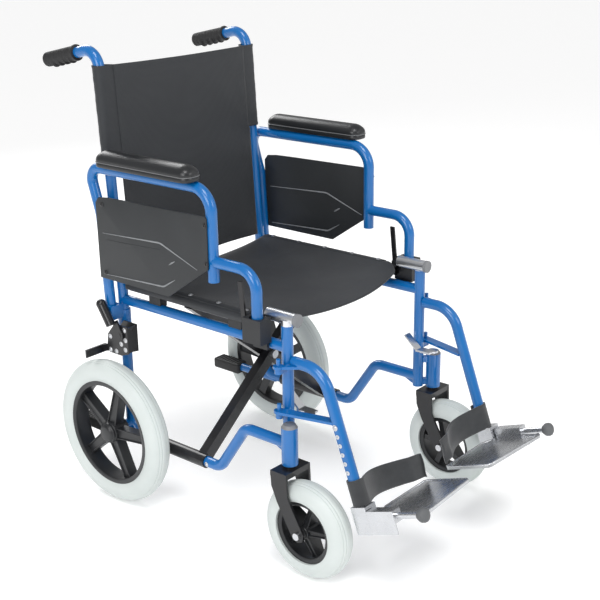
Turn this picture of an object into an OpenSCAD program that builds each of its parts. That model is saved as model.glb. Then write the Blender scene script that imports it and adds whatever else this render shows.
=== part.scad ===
// Folding attendant-propelled wheelchair: two welded tube side frames joined by a
// scissor brace, sling seat and back, flip-back armrests, swing-away footrests.
// X runs across the chair, Y fore and aft with the front at -Y, Z up from the floor.
// Every sub-part is drawn for the left side (+X) and mirrored for the right side.

/* [Side frames] */
// Spacing of the two side frames, tube centre to tube centre
frame_gap = 418; // [360:1:520]
// Distance from the rear upright to the front post, centre to centre
frame_len = 444; // [400:1:540]
// Outside diameter of the frame tube
tube_d = 22; // [20:0.5:25]
// Wall of the frame tube
tube_wall = 1.5; // [1:0.1:2.5]
// Outside diameter of the straight rails that are welded between the bent tubes
rail_d = 21; // [18:0.5:24]
// Height of the lower rail's centre line, which carries the scissor hinges
low_rail_z = 134; // [120:1:150]
// Height of the lower rail's front part, above the castor
front_rail_z = 240; // [225:1:270]
// Height of the upper rail's centre line
top_rail_z = 433; // [380:1:470]
// Distance ahead of the rear upright where the lower rail begins to rise
kick_start = 262; // [250:1:300]
// Fore-aft length of that rise
kick_len = 72; // [60:1:95]
// Centre-line radius of the rear bottom bend
corner_r = 40; // [34:1:40]
// Centre-line radius of the two bends of the rise
kick_r = 30; // [24:1:32]
// Height of the front post's lower end
post_z0 = 219; // [205:1:226]

/* [Push handles and back] */
// Height of the push handle's corner
handle_z = 936; // [850:1:1050]
// Centre-line radius of the handle bend
handle_r = 34; // [30:1:40]
// Fall of the handle towards the back, in degrees
handle_fall = 12; // [0:1:20]
// Length of the handle tube from its corner
handle_len = 158; // [140:1:190]
// Recline of the back canes, in degrees
recline = 3.2; // [0:0.1:8]
// Height where the canes begin to recline
recline_z = 448; // [446:1:470]
// Outside diameter of the hand grip
grip_d = 30; // [27:1:36]
// Length of the hand grip
grip_len = 101; // [90:1:125]
// Thickness of the back cloth
back_t = 3; // [2:0.5:5]
// Height of the back cloth's sleeves along the canes
sleeve_h = 175; // [120:1:220]
// Height of the back cloth's top edge
back_top_z = 903; // [820:1:1010]

/* [Seat and scissor brace] */
// Height of the seat tubes' centre line when the chair is open
seat_z = 465; // [464:1:500]
// How far the seat tubes stand inboard of the side frames
seat_inset = 4; // [3:0.5:8]
// Length of the seat tubes
seat_tube_len = 363; // [340:1:380]
// Thickness of the seat cloth
seat_t = 4; // [3:0.5:8]
// Sag of the seat cloth in the middle
seat_sag = 14; // [4:1:25]
// Distance of the front brace leg ahead of the rear upright
leg_y = 211; // [190:1:225]
// Width of a brace leg across its length
leg_w = 25; // [18:1:30]
// Depth of a brace leg along the hinge axis
leg_t = 20; // [14:1:20]
// Wall of a brace leg
leg_wall = 2; // [1.5:0.5:3]
// Diameter of the scissor's centre bolt
brace_bolt_d = 10; // [8:1:12]
// Outside diameter of the hinge sleeves on the lower rails
sleeve_d = 29; // [28:0.5:34]
// Length of the hinge sleeves
hinge_len = 162; // [120:1:165]

/* [Armrests] */
// Distance of the armrest plane outboard of the side frame
arm_out = 27; // [26:1:32]
// Height of the armrest tube's centre line
arm_z = 708; // [660:1:760]
// Height of the armrest's rear pivot
arm_pivot_z = 418; // [412:1:430]
// Distance of the front post ahead of the rear upright
arm_post_y = 291; // [270:1:310]
// Height of the front post's open lower end
arm_post_z = 534; // [520:1:545]
// Height of the forward branch's centre line
branch_z = 573; // [565:1:590]
// Distance of the branch's drop leg ahead of the rear upright
branch_y = 397; // [385:1:410]
// Centre-line radius of the branch bend
branch_r = 40; // [30:1:45]
// Width of the arm pad
pad_w = 46; // [40:1:60]
// Height of the arm pad
pad_h = 31; // [20:1:45]
// Length of the arm pad
pad_len = 256; // [230:1:270]
// Thickness of the skirt guard
guard_t = 4; // [3:0.5:6]

/* [Rear wheels] */
// Outside radius of the rear tyre
rear_r = 155; // [148:1:162]
// Width of the rear tyre
rear_w = 50; // [40:1:54]
// Distance of the rear wheel's middle plane outboard of the side frame
rear_out = 48; // [47:1:56]
// Outside radius of the rear rim
rear_rim_r = 113; // [105:1:120]
// Diameter of the rear axle bolt
axle_d = 12; // [10:1:14]

/* [Castors] */
// Outside radius of the castor tyre
castor_r = 96; // [88:1:99]
// Width of the castor tyre
castor_w = 50; // [40:1:52]
// Outside radius of the castor rim
castor_rim_r = 62; // [54:1:66]
// Distance of the castor stem outboard of the side frame
stem_out = 24; // [23:1:30]
// Distance of the castor stem ahead of the front post
stem_fwd = 22; // [20:1:30]
// Trail of the castor wheel from its stem
castor_trail = 44; // [36:1:50]
// Outside diameter of the stem housing
housing_d = 31; // [30:0.5:36]
// Height of the stem housing
housing_h = 74; // [60:1:90]
// Diameter of the castor stem
stem_d = 12; // [10:1:14]
// Diameter of the castor axle bolt
castor_axle_d = 8; // [6:1:10]

/* [Footrests] */
// Height of the hanger tube's rear end
hanger_z = 408; // [380:1:418]
// Distance of the hanger's bend ahead of the front post
hanger_y = 81; // [75:1:100]
// Lean of the hanger's lower tube from upright, in degrees
hanger_lean = 20; // [12:1:25]
// Length of the hanger's lower tube from its bend
hanger_len = 214; // [180:1:240]
// Distance from the hanger's bend to the footplate hinge
foot_drop = 270; // [262:1:285]
// Centre-line radius of the hanger bend
hanger_r = 55; // [45:1:60]
// Distance of the footrest swing pins outboard of the front post
pin_out = 26; // [25:1:30]
// Diameter of the footrest swing pins
pin_d = 8; // [6:1:10]
// Width of the footplate, from its hinge inwards
plate_w = 182; // [150:1:200]
// Thickness of the footplate
plate_t = 6; // [4:1:9]
// Diameter of the hinge rod under the footplate
rod_d = 12; // [10:1:14]
// Diameter of the rubber bumper at the rod's end
bumper_d = 26; // [20:1:30]
// Width of the heel strap's webbing
strap_w = 48; // [30:1:60]

/* [Clearances] */
// Radial clearance of a pin or shaft that turns in its hole
run_gap = 0.05; // [0.02:0.01:0.1]
// Gap between neighbouring pieces
gap = 0.4; // [0.3:0.1:1]

/* [Hidden] */
$fn = 64;
BLUE = [0.05, 0.35, 0.75];
BLACK = [0.08, 0.08, 0.09];
SILVER = [0.8, 0.8, 0.82];
GREY = [0.4, 0.41, 0.43];
TYRE = [0.82, 0.85, 0.84];
CLOTH = [0.2, 0.21, 0.23];

hair = 0.3;
tube_r = tube_d/2;
frame_x = frame_gap/2;
post_y = -frame_len;
arm_x = frame_x + arm_out;

// The back cane's line and the handle's corner on it
function cane_y(z) = (z - recline_z)*tan(recline);
handle_corner = [cane_y(handle_z), handle_z];
handle_dir = [cos(handle_fall), -sin(handle_fall)];
handle_end = handle_corner + handle_len*handle_dir;
grip_end = handle_end + 4*handle_dir;

// The footplate hinge, on the line of the hanger's lower tube
hanger_x = frame_x - 1;
hanger_bend = [post_y - hanger_y, hanger_z];
hanger_dir = [-sin(hanger_lean), -cos(hanger_lean)];
hanger_foot = hanger_bend + hanger_len*hanger_dir;
foot_hinge = hanger_bend + foot_drop*hanger_dir;
rod_out = 8;
rod_len = 132;
bumper_len = 20;

// Half the chair's fore-aft span, which puts the origin under its middle
y_back = grip_end[0] + sin(handle_fall)*grip_d/2;
y_front = foot_hinge[0] - cos(hanger_lean)*(rod_len + bumper_len) - sin(hanger_lean)*bumper_d/4;
y_shift = -(y_back + y_front)/2;

// The scissor: each leg runs from one lower rail to the other side's seat tube
seat_x = frame_x - seat_inset;
leg_run = frame_x + seat_x;
leg_rise = seat_z - low_rail_z;
leg_angle = atan2(leg_rise, leg_run);
leg_len = norm([leg_run, leg_rise]);
cross_z = low_rail_z + leg_rise*frame_x/leg_run;
leg_pitch = leg_t + 2;

// The armrest's rear post starts level with the rear upright and leans back above
pivot_y = 8;
arm_knee = [18, arm_z - 93];
arm_top = [46, arm_z];
socket_z = [top_rail_z + 7, top_rail_z + 54];

// Pivots of the wheel brake
lever_pivot = [-30, 372];
shoe_pivot = [-10, 340];

// ---- bent tube tools: a route is a list of [y, z] corners, drawn in the plane x ----

function heading(a, b) = atan2(b[1] - a[1], b[0] - a[0]);
function turn_at(p, i) = let (t = heading(p[i], p[i + 1]) - heading(p[i - 1], p[i])) t - 360*round(t/360);
function bend_r(r, i) = is_list(r) ? r[i - 1] : r;
function is_end(p, i) = i == 0 || i == len(p) - 1;
function trim_at(p, i, r) = is_end(p, i) ? 0 : bend_r(r, i)*tan(abs(turn_at(p, i))/2);
function past(a, b, e) = b + e*(b - a)/norm(b - a);
function longer(p, e) = [
    for (i = [0:len(p) - 1])
        i == 0 ? past(p[1], p[0], e) : i == len(p) - 1 ? past(p[i - 1], p[i], e) : p[i]
];

module in_plane(x) {
    translate([x, 0, 0]) rotate([90, 0, 90]) children();
}

module elbow(p, i, r, d) {
    turn = turn_at(p, i);
    h = heading(p[i - 1], p[i]);
    side = sign(turn);
    start = p[i] - trim_at(p, i, r)*[cos(h), sin(h)];
    centre = start + side*bend_r(r, i)*[-sin(h), cos(h)];
    first = turn > 0 ? h - 90 : h + 90 + turn;
    translate([centre[0], centre[1], 0]) rotate([0, 0, first])
        rotate_extrude(angle = abs(turn)) translate([bend_r(r, i), 0]) circle(d = d);
}

// A straight length is a hair thinner than the bends and runs into them, for a clean join
module straight(p, i, r, d) {
    a = is_end(p, i) ? 0 : trim_at(p, i, r) - 1;
    b = is_end(p, i + 1) ? 0 : trim_at(p, i + 1, r) - 1;
    translate([p[i][0], p[i][1], 0]) rotate([0, 0, heading(p[i], p[i + 1])])
        translate([a, 0, 0]) rotate([0, 90, 0]) cylinder(h = norm(p[i + 1] - p[i]) - a - b, d = d - hair);
}

module rod_route(p, r, d) {
    for (i = [0:len(p) - 2]) straight(p, i, r, d);
    if (len(p) > 2) for (i = [1:len(p) - 2]) elbow(p, i, r, d);
}

module tube_route(x, p, r, d) {
    in_plane(x) difference() {
        rod_route(p, r, d);
        rod_route(longer(p, 1), r, d - 2*tube_wall);
    }
}

// A round bar across the chair at [y, z], from x0 to x1
module cross_bar(x0, x1, y, z, d) {
    translate([x0, y, z]) rotate([0, 90, 0]) cylinder(h = x1 - x0, d = d);
}

// A plate cut to an outline in the y-z plane, from x0 to x1
module side_plate(x0, x1, outline) {
    in_plane(x0) linear_extrude(x1 - x0) polygon(outline);
}

module place() {
    translate([0, y_shift, 0]) children();
}

module on_side(s) {
    mirror([s < 0 ? 1 : 0, 0, 0]) children();
}

// ---- side frame ----

cane_route = [
    handle_end, handle_corner, [0, recline_z], [0, low_rail_z],
    [-kick_start, low_rail_z], [-kick_start - kick_len, front_rail_z], [post_y, front_rail_z]
];
cane_bends = [handle_r, 120, corner_r, kick_r, kick_r];
dock_d = 24;
dock_z = top_rail_z + 54;
dock_len = 66;
dock_y = post_y - 17;
stem_x = frame_x + stem_out;
stem_y = post_y - stem_fwd;
housing_z = post_z0 - 3;
bearing_d = 27;
lug_z = [hanger_z - 1, hanger_z - 88];
boss_len = 32;
tip_z = low_rail_z - 5;
tip_len = 140;
tip_d = 19;

module frame_outside() {
    in_plane(frame_x) rod_route(cane_route, cane_bends, tube_d);
    // Upper rail, front post and the plated dock tube on the post's top
    in_plane(frame_x) rod_route([[0, top_rail_z], [post_y, top_rail_z]], 0, rail_d);
    translate([frame_x, post_y, post_z0]) cylinder(h = dock_z - post_z0, d = tube_d - 0.2);
    in_plane(frame_x - 5) rod_route([[dock_y + dock_len, dock_z], [dock_y, dock_z]], 0, dock_d);
    // Sleeve where the upright and the cane join
    translate([frame_x, 0, 378]) cylinder(h = 34, d = tube_d + 5);
    // Axle boss and the tipping tube
    cross_bar(frame_x - 12, frame_x - 12 + boss_len, 0, rear_r, axle_d + 12);
    in_plane(frame_x) rod_route([[-corner_r, tip_z], [tip_len, tip_z]], 0, tip_d);
    // Castor stem housing on two webs
    translate([stem_x, stem_y, housing_z]) cylinder(h = housing_h, d = housing_d);
    for (z = [housing_z + 6, housing_z + housing_h - 18])
        translate([frame_x, post_y, z]) rotate([0, 0, atan2(-stem_fwd, stem_out)])
            translate([0, -6, 0]) cube([norm([stem_out, stem_fwd]) - 4, 12, 12]);
    side_plate(frame_x - 2, frame_x + 2, [
        [post_y + 2, front_rail_z - 4], [post_y + 2, post_z0 + 2], [post_y + 14, post_z0 + 2],
        [post_y + 48, front_rail_z - 4]
    ]);
}

module pin_blocks() {
    // Lugs that carry the two upright swing pins of the footrest
    for (z = lug_z) {
        translate([frame_x + 6, post_y - 6, z - 17]) cube([pin_out - 6, 12, 10]);
        translate([frame_x + pin_out, post_y, z - 17]) cylinder(h = 10, d = pin_d + 6);
        translate([frame_x + pin_out, post_y, z - 8]) cylinder(h = 19, d = pin_d);
    }
}

module arm_clevis() {
    // Two cheeks and a web that hold the armrest's rear pivot pin
    cheek_gap = tube_d/2 + gap;
    for (x = [arm_x - cheek_gap - 3, arm_x + cheek_gap])
        side_plate(x, x + 3, [
            [-9, arm_pivot_z - 20], [16, arm_pivot_z - 20], [16, arm_pivot_z + 9], [-9, arm_pivot_z + 9]
        ]);
    translate([frame_x + 6, -9, arm_pivot_z - 20]) cube([arm_out - 6 + cheek_gap, 4, 29]);
    cross_bar(arm_x - cheek_gap - 3, arm_x + cheek_gap + 3, pivot_y, arm_pivot_z, 8);
}

module side_frame() {
    color(BLUE) difference() {
        union() {
            frame_outside();
            pin_blocks();
            arm_clevis();
        }
        in_plane(frame_x) rod_route(longer(cane_route, 1), cane_bends, tube_d - 2*tube_wall);
        translate([frame_x, post_y, post_z0 - 1])
            cylinder(h = dock_z - dock_d/2 - post_z0 - 1, d = tube_d - 0.4 - 2*tube_wall);
        in_plane(frame_x - 5) rod_route(
            [[dock_y + dock_len + 1, dock_z], [dock_y - 1, dock_z]], 0, dock_d - 2*tube_wall);
        in_plane(frame_x) rod_route([[tip_len - 60, tip_z], [tip_len + 1, tip_z]], 0, tip_d - 2*tube_wall);
        cross_bar(frame_x - 13, frame_x + boss_len, 0, rear_r, axle_d + 2*run_gap);
        translate([stem_x, stem_y, housing_z - 1]) cylinder(h = housing_h + 2, d = bearing_d + 2*run_gap);
    }
}

module seat_saddles() {
    // Moulded cups on the upper rail that the seat tube drops into
    color(GREY) for (y = [-100, -318]) difference() {
        translate([seat_x - 9, y - 16, top_rail_z + rail_d/2 - 4]) cube([18, 32, seat_z - top_rail_z - rail_d/2]);
        in_plane(seat_x) rod_route([[y - 17, seat_z], [y + 17, seat_z]], 0, tube_d + 2*gap);
        in_plane(frame_x) rod_route([[y - 17, top_rail_z], [y + 17, top_rail_z]], 0, rail_d + 2*run_gap);
    }
}

module arm_socket() {
    // Black moulded cup that catches the armrest's front leg, screwed to the rail's side
    x0 = frame_x + tube_r + 0.5;
    y0 = -branch_y - 19;
    slot = tube_d + 1.6;
    color(BLACK) difference() {
        union() {
            translate([x0, y0, socket_z[0]]) cube([arm_out + 3, 44, socket_z[1] - socket_z[0]]);
            translate([x0, y0 + 6, top_rail_z - 9]) cube([6, 34, 20]);
            // Ear and pin for the catch lever
            translate([arm_x - 8, y0 + 42, release_pivot[1] - 9]) cube([3.6, release_pivot[0] - y0 - 36, 18]);
            cross_bar(arm_x - 6, arm_x + 1.5, release_pivot[0], release_pivot[1], 5);
        }
        translate([arm_x, -branch_y, socket_z[0] + 12]) cylinder(h = 60, d = slot);
        translate([arm_x, -branch_y + 5, socket_z[0] + 12]) cylinder(h = 60, d = slot);
        translate([arm_x - slot/2, -branch_y, socket_z[0] + 12]) cube([slot, 5, 60]);
        cross_bar(x0 - 1, x0 + 12, y0 + 36, top_rail_z, 5);
    }
}

module tube_caps() {
    // Grey plugs: dock tube front end and the stem housing's top
    color(GREY) {
        in_plane(frame_x - 5) {
            rod_route([[dock_y + 8, dock_z], [dock_y - 0.1, dock_z]], 0, dock_d - 2*tube_wall - 0.2);
            rod_route([[dock_y - 0.1, dock_z], [dock_y - 6, dock_z]], 0, dock_d + 1);
        }
        translate([stem_x, stem_y, housing_z + housing_h + 0.1]) cylinder(h = 6, d1 = housing_d, d2 = housing_d - 8);
    }
}

module hand_grip() {
    // Rubber grip pushed over the handle tube, with finger ridges underneath
    reach = grip_len - 4;
    color(BLACK) in_plane(frame_x) translate([handle_corner[0], handle_corner[1], 0])
        rotate([0, 0, -handle_fall]) difference() {
            union() {
                translate([handle_len - reach, 0, 0]) rotate([0, 90, 0]) cylinder(h = grip_len, d = grip_d - 2);
                translate([handle_len - reach, 0, 0]) rotate([0, 90, 0]) cylinder(h = 7, d = grip_d + 3);
                for (k = [1:5])
                    translate([handle_len - reach + 4 + 16*k, -3, 0]) rotate([0, 90, 0])
                        cylinder(h = 8, d = grip_d - 2);
            }
            translate([handle_len - reach - 1, 0, 0]) rotate([0, 90, 0])
                cylinder(h = reach + 1.1, d = tube_d + 2*run_gap);
        }
}

module tipping_pedal() {
    // Rubber foot pedal pushed over the tipping tube
    color(BLACK) difference() {
        translate([frame_x - 18, tip_len - 72, tip_z - 15]) cube([36, 82, 27]);
        in_plane(frame_x) rod_route([[tip_len - 80, tip_z], [tip_len + 0.1, tip_z]], 0, tip_d + 2*run_gap);
    }
}

// ---- wheel brake ----

brake_plate = [
    [-50, 392], [-50, 334], [-28, 326], [8, 326], [14, 340], [10, 366], [-12, 392]
];
bracket_x = [frame_x + tube_r + 0.2, frame_x + 36];

module brake_bracket() {
    color(BLACK) difference() {
        union() {
            for (x = bracket_x) side_plate(x, x + 3, brake_plate);
            translate([bracket_x[0], -50, 336]) cube([bracket_x[1] - bracket_x[0] + 1, 3, 54]);
            cross_bar(bracket_x[1] + 3, bracket_x[1] + 8, lever_pivot[0], lever_pivot[1], 8);
            cross_bar(bracket_x[0] + 3, bracket_x[1], shoe_pivot[0], shoe_pivot[1], 8);
        }
        translate([frame_x, 0, 300]) cylinder(h = 120, d = tube_d + 5 + 2*gap);
    }
}

module brake_lever() {
    // Steel blade with a round moulded grip
    x0 = bracket_x[1] + 3.4;
    color(BLACK) difference() {
        union() {
            cross_bar(x0, x0 + 4, lever_pivot[0], lever_pivot[1], 20);
            side_plate(x0, x0 + 4, [[-39, 374], [-22, 365], [-12, 396], [-24, 403]]);
            in_plane(x0 + 13) {
                rod_route([[-18, 394], [8, 434]], 0, 20);
                translate([8, 434, 0]) sphere(d = 20.6);
            }
        }
        cross_bar(x0 - 1, x0 + 5, lever_pivot[0], lever_pivot[1], 8 + 2*run_gap);
    }
}

module brake_shoe() {
    // Bent steel shoe that swings down on the tyre
    x0 = bracket_x[1] - 8;
    color(BLACK) difference() {
        union() {
            cross_bar(x0, x0 + 4, shoe_pivot[0], shoe_pivot[1], 18);
            side_plate(x0, x0 + 4, [[-10, 331], [-10, 349], [44, 331], [44, 317]]);
            translate([frame_x + rear_out - 28, 40, 315]) cube([54, 4, 17]);
        }
        cross_bar(x0 - 1, x0 + 5, shoe_pivot[0], shoe_pivot[1], 8 + 2*run_gap);
    }
}

// ---- armrest ----

module arm_tube() {
    main = [[pivot_y, arm_pivot_z], arm_knee, arm_top, [-arm_post_y, arm_z], [-arm_post_y, arm_post_z]];
    bends = [60, 26, 45];
    branch = [[-arm_post_y, branch_z], [-branch_y, branch_z], [-branch_y, socket_z[0] + 22]];
    bore = [main[0] + [1, 20], arm_knee, arm_top, main[3], main[4] - [0, 1]];
    color(BLUE) difference() {
        union() {
            in_plane(arm_x) rod_route(main, bends, tube_d);
            in_plane(arm_x) rod_route(branch, branch_r, tube_d - 0.6);
            cross_bar(arm_x - tube_r, arm_x + tube_r, pivot_y, arm_pivot_z, tube_d + 0.4);
        }
        in_plane(arm_x) rod_route(bore, bends, tube_d - 2*tube_wall);
        in_plane(arm_x) rod_route([[-arm_post_y - 15, branch_z], branch[1], branch[2] - [0, 1]],
                                  branch_r, tube_d - 0.6 - 2*tube_wall);
        cross_bar(arm_x - tube_d, arm_x + tube_d, pivot_y, arm_pivot_z, 8 + 2*run_gap);
    }
}

module arm_pad() {
    // Padded vinyl rest on the top tube
    r_back = pad_w/2;
    y_rear = -8;
    color(BLACK) translate([arm_x - tube_r + 0.2 + pad_w/2, 0, arm_z + tube_r + gap]) linear_extrude(pad_h) union() {
        translate([0, y_rear - r_back]) circle(r = r_back);
        translate([-r_back, y_rear - pad_len + r_back]) square([pad_w, pad_len - 2*r_back]);
        translate([0, y_rear - pad_len + r_back]) circle(r = r_back);
    }
}

module skirt_guard() {
    // Moulded side panel that keeps clothes off the wheel, screwed to both posts
    x0 = arm_x + tube_r + gap;
    top = arm_z - 46;
    color(BLACK) side_plate(x0, x0 + guard_t, [
        [2, 482], [-182, 486], [-arm_post_y, 560], [-arm_post_y, top - 4], [4 - arm_post_y, top],
        [-4, top - 6], [-8, top - 10]
    ]);
    color(SILVER) for (p = [[-arm_post_y + 4, top - 12], [-arm_post_y + 4, 572], [-1, 494]])
        cross_bar(x0 + guard_t, x0 + guard_t + 2, p[0] + 3, p[1], 8);
}

release_pivot = [-branch_y + 33, top_rail_z + 33];

module arm_release() {
    // Flat catch lever behind the front leg of the armrest
    color(BLACK) difference() {
        side_plate(arm_x - 4, arm_x, [
            release_pivot + [-5, -7], release_pivot + [5, -7], release_pivot + [14, 81], release_pivot + [4, 81]
        ]);
        cross_bar(arm_x - 5, arm_x + 1, release_pivot[0], release_pivot[1], 5 + 2*run_gap);
    }
}

// ---- rear wheel ----

wheel_x = frame_x + rear_out;

module on_axle(x, y, z) {
    translate([x, y, z]) rotate([0, 90, 0]) children();
}

// A tyre of round section, cut off where it sits on its rim
module tyre(outer, width, rim) {
    difference() {
        rotate_extrude($fn = 96) intersection() {
            translate([outer - width/2, 0]) circle(d = width);
            translate([rim + run_gap, -width/2]) square([outer, width]);
        }
    }
}

// A moulded rim with a channel, five spokes and a hub
module rim(outer, width, hub_r, hub_h, bore, spoke_w) {
    difference() {
        union() {
            rotate_extrude($fn = 96) polygon([
                [outer - 14, -width/2], [outer, -width/2], [outer, width/2], [outer - 14, width/2],
                [outer - 10, width/2 - 6], [outer - 10, 6 - width/2]
            ]);
            cylinder(h = hub_h, r = hub_r, center = true);
            for (a = [0:72:288]) rotate([0, 0, a + 18]) {
                translate([0, -spoke_w/2, -5]) cube([outer - 9, spoke_w, 10]);
                translate([0, -2, -width/2 + 8]) cube([outer - 9, 4, width - 16]);
            }
        }
        bore_len = hub_h + 2;
        translate([0, 0, -bore_len/2]) cylinder(h = bore_len, r = bore);
    }
}

module rear_tyre() {
    color(TYRE) on_axle(wheel_x, 0, rear_r) tyre(rear_r, rear_w, rear_rim_r);
}

module rear_rim() {
    hub_h = rear_w - 5;
    color(BLACK) on_axle(wheel_x, 0, rear_r) {
        rim(rear_rim_r, rear_w - 12, 20, hub_h, axle_d/2 + run_gap, 18);
        translate([0, 0, hub_h/2 - 4]) cylinder(h = 4, r = 19);
    }
}

module wheel_axle() {
    // Axle bolt with its head inside the frame
    reach = wheel_x + (rear_w - 5)/2 - 5;
    color(SILVER) union() {
        cross_bar(frame_x - 12.2, reach, 0, rear_r, axle_d);
        cross_bar(frame_x - 19, frame_x - 12.2, 0, rear_r, axle_d + 8);
    }
}

// ---- castor ----

castor_y = stem_y - castor_trail;
fork_gap = castor_w + 9;
fork_t = 5;
crown_z = housing_z - 16;

module stem_bearings() {
    color(SILVER) for (z = [housing_z + 1, housing_z + housing_h - 11])
        translate([stem_x, stem_y, z]) difference() {
            cylinder(h = 10, d = bearing_d);
            translate([0, 0, -1]) cylinder(h = 12, d = stem_d + 2*run_gap);
        }
}

module castor_fork() {
    // Steel fork: flat crown, two cranked legs and the stem
    color(BLACK) difference() {
        union() {
            translate([stem_x, stem_y, crown_z]) {
                cylinder(h = housing_h + 14, d = stem_d);
                cylinder(h = 15.5, d = stem_d + 12);
                translate([-fork_gap/2 - fork_t, -19, 0]) cube([fork_gap + 2*fork_t, 38, 11]);
            }
            for (x = [stem_x - fork_gap/2 - fork_t, stem_x + fork_gap/2])
                side_plate(x, x + fork_t, [
                    [stem_y - 19, crown_z + 11], [stem_y - 21, 165], [castor_y - 14, castor_r + 5],
                    [castor_y - 12, castor_r - 9], [castor_y, castor_r - 14], [castor_y + 12, castor_r - 9],
                    [stem_y + 4, 150], [stem_y + 17, 180], [stem_y + 19, crown_z + 11]
                ]);
        }
        cross_bar(stem_x - fork_gap, stem_x + fork_gap, castor_y, castor_r, castor_axle_d + 2*run_gap);
    }
}

module castor_axle() {
    half = fork_gap/2 + fork_t + 0.1;
    color(SILVER) union() {
        cross_bar(stem_x - half, stem_x + half, castor_y, castor_r, castor_axle_d);
        cross_bar(stem_x + half, stem_x + half + 5, castor_y, castor_r, castor_axle_d + 6);
        cross_bar(stem_x - half - 5, stem_x - half, castor_y, castor_r, castor_axle_d + 6);
    }
}

module castor_tyre() {
    color(TYRE) on_axle(stem_x, castor_y, castor_r) tyre(castor_r, castor_w, castor_rim_r);
}

module castor_rim() {
    color(BLACK) on_axle(stem_x, castor_y, castor_r)
        rim(castor_rim_r, castor_w - 12, 13, castor_w + 4, castor_axle_d/2 + run_gap, 13);
}

// ---- footrest ----

// The footplate hinge's own frame: -y forward along the hinge rod, z up the hanger
module at_foot() {
    translate([hanger_x, foot_hinge[0], foot_hinge[1]]) rotate([-hanger_lean, 0, 0]) children();
}

module strut(z) {
    // Flat lug from a swing pin to the hanger tube
    reach = hanger_bend[0] - (hanger_z - z - 14)*tan(hanger_lean);
    run = [hanger_x - frame_x - pin_out, reach - post_y];
    translate([frame_x + pin_out, post_y, z - 7 + gap]) {
        cylinder(h = 5, d = pin_d + 12);
        rotate([0, 0, atan2(run[1], run[0])]) translate([0, -10, 0]) cube([norm(run), 20, 5]);
    }
}

module hanger() {
    start = [post_y - tube_r - 3, hanger_z];
    route = [start, hanger_bend, hanger_foot];
    color(BLUE) difference() {
        union() {
            in_plane(hanger_x) rod_route(route, hanger_r, tube_d);
            translate([frame_x + pin_out, post_y, lug_z[0] - 7 + gap]) {
                cylinder(h = 5, d = pin_d + 12);
                rotate([0, 0, 230]) translate([0, -2, 0]) cube([48, 9.4, 5]);
            }
            strut(lug_z[1]);
        }
        in_plane(hanger_x) rod_route(longer(route, 1), hanger_r, tube_d - 2*tube_wall);
        for (z = lug_z)
            translate([frame_x + pin_out, post_y, z - 8]) cylinder(h = 10, d = pin_d + 2*run_gap);
        translate([frame_x, post_y, lug_z[1] - 20]) cylinder(h = 110, d = tube_d + 2*gap);
    }
    color(GREY) in_plane(hanger_x)
        rod_route([start - [1, 0], start + [1.6, 0]], 0, tube_d - 2);
}

latch_pivot = [hanger_x - 8, post_y - 42];

module hanger_latch() {
    // Plated thumb lever under the lower lug that frees the footrest to swing
    z0 = lug_z[1] - 12.5;
    color(SILVER) union() {
        translate([latch_pivot[0], latch_pivot[1], z0]) cylinder(h = 4, d = 22);
        translate([latch_pivot[0] - 20, latch_pivot[1] - 4, z0]) cube([20, 34, 4]);
        translate([latch_pivot[0] - 20, latch_pivot[1] + 28, z0]) rotate([42, 0, 0]) cube([17, 42, 3.5]);
    }
}

slider_d = tube_d - hair - 2*tube_wall - 2*run_gap;

module foot_slider() {
    // Extension tube in the hanger, with a clamp block and the footplate's hinge rod
    color(SILVER) at_foot() difference() {
        union() {
            translate([0, 0, 12]) cylinder(h = foot_drop - hanger_len + 98, d = slider_d);
            translate([-13, -22, -34]) cube([26 + rod_out - 4, 34, 52]);
            translate([rod_out, 0, 0]) rotate([90, 0, 0]) cylinder(h = rod_len, d = rod_d);
        }
        translate([0, 0, 22]) cylinder(h = 200, d = slider_d - 3);
    }
}

module footplate() {
    // Cast plate that flips up about the hinge rod
    x_in = rod_out - plate_w;
    color(SILVER) at_foot() difference() {
        union() {
            translate([0, 0, -4 - plate_t]) linear_extrude(plate_t) polygon([
                [rod_out - 8, -24], [-26, -24], [-44, -13], [x_in + 5, -13], [x_in, -18], [x_in, -112],
                [x_in + 6, -117], [rod_out - 18, -131], [rod_out - 8, -123]
            ]);
            translate([rod_out - 11, -84, -12]) cube([22, 60, 23]);
            translate([rod_out + 8, -84, -32]) cube([3, 60, 43]);
        }
        translate([rod_out, -23, 0]) rotate([90, 0, 0]) cylinder(h = 120, d = rod_d + 2*run_gap);
    }
}

module bumper() {
    color(GREY) at_foot() translate([rod_out, -rod_len - bumper_len/2, 0]) difference() {
        union() {
            rotate([90, 0, 0]) cylinder(h = bumper_len, d = bumper_d - 8, center = true);
            rotate([90, 0, 0]) cylinder(h = bumper_len - 8, d = bumper_d, center = true);
        }
        translate([0, bumper_len/2 + 1, 0]) rotate([90, 0, 0]) cylinder(h = 1.1, d = rod_d + 2*run_gap);
    }
}

module heel_strap() {
    // Webbing loop behind the heel, from the hanger to the footplate's inner rear corner
    sag = 22;
    span = plate_w - rod_out - tube_r - 16;
    function bow(t) = sag*4*t*(1 - t);
    outline = concat(
        [for (t = [0:0.1:1]) [-tube_r - 4 - t*span, -4 + bow(t)]],
        [for (t = [1:-0.1:0]) [-tube_r - 4 - t*span, -1 + bow(t)]]
    );
    color(CLOTH) at_foot() translate([0, 0, 22]) linear_extrude(strap_w) polygon(outline);
}

// ---- scissor brace and soft goods ----

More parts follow.
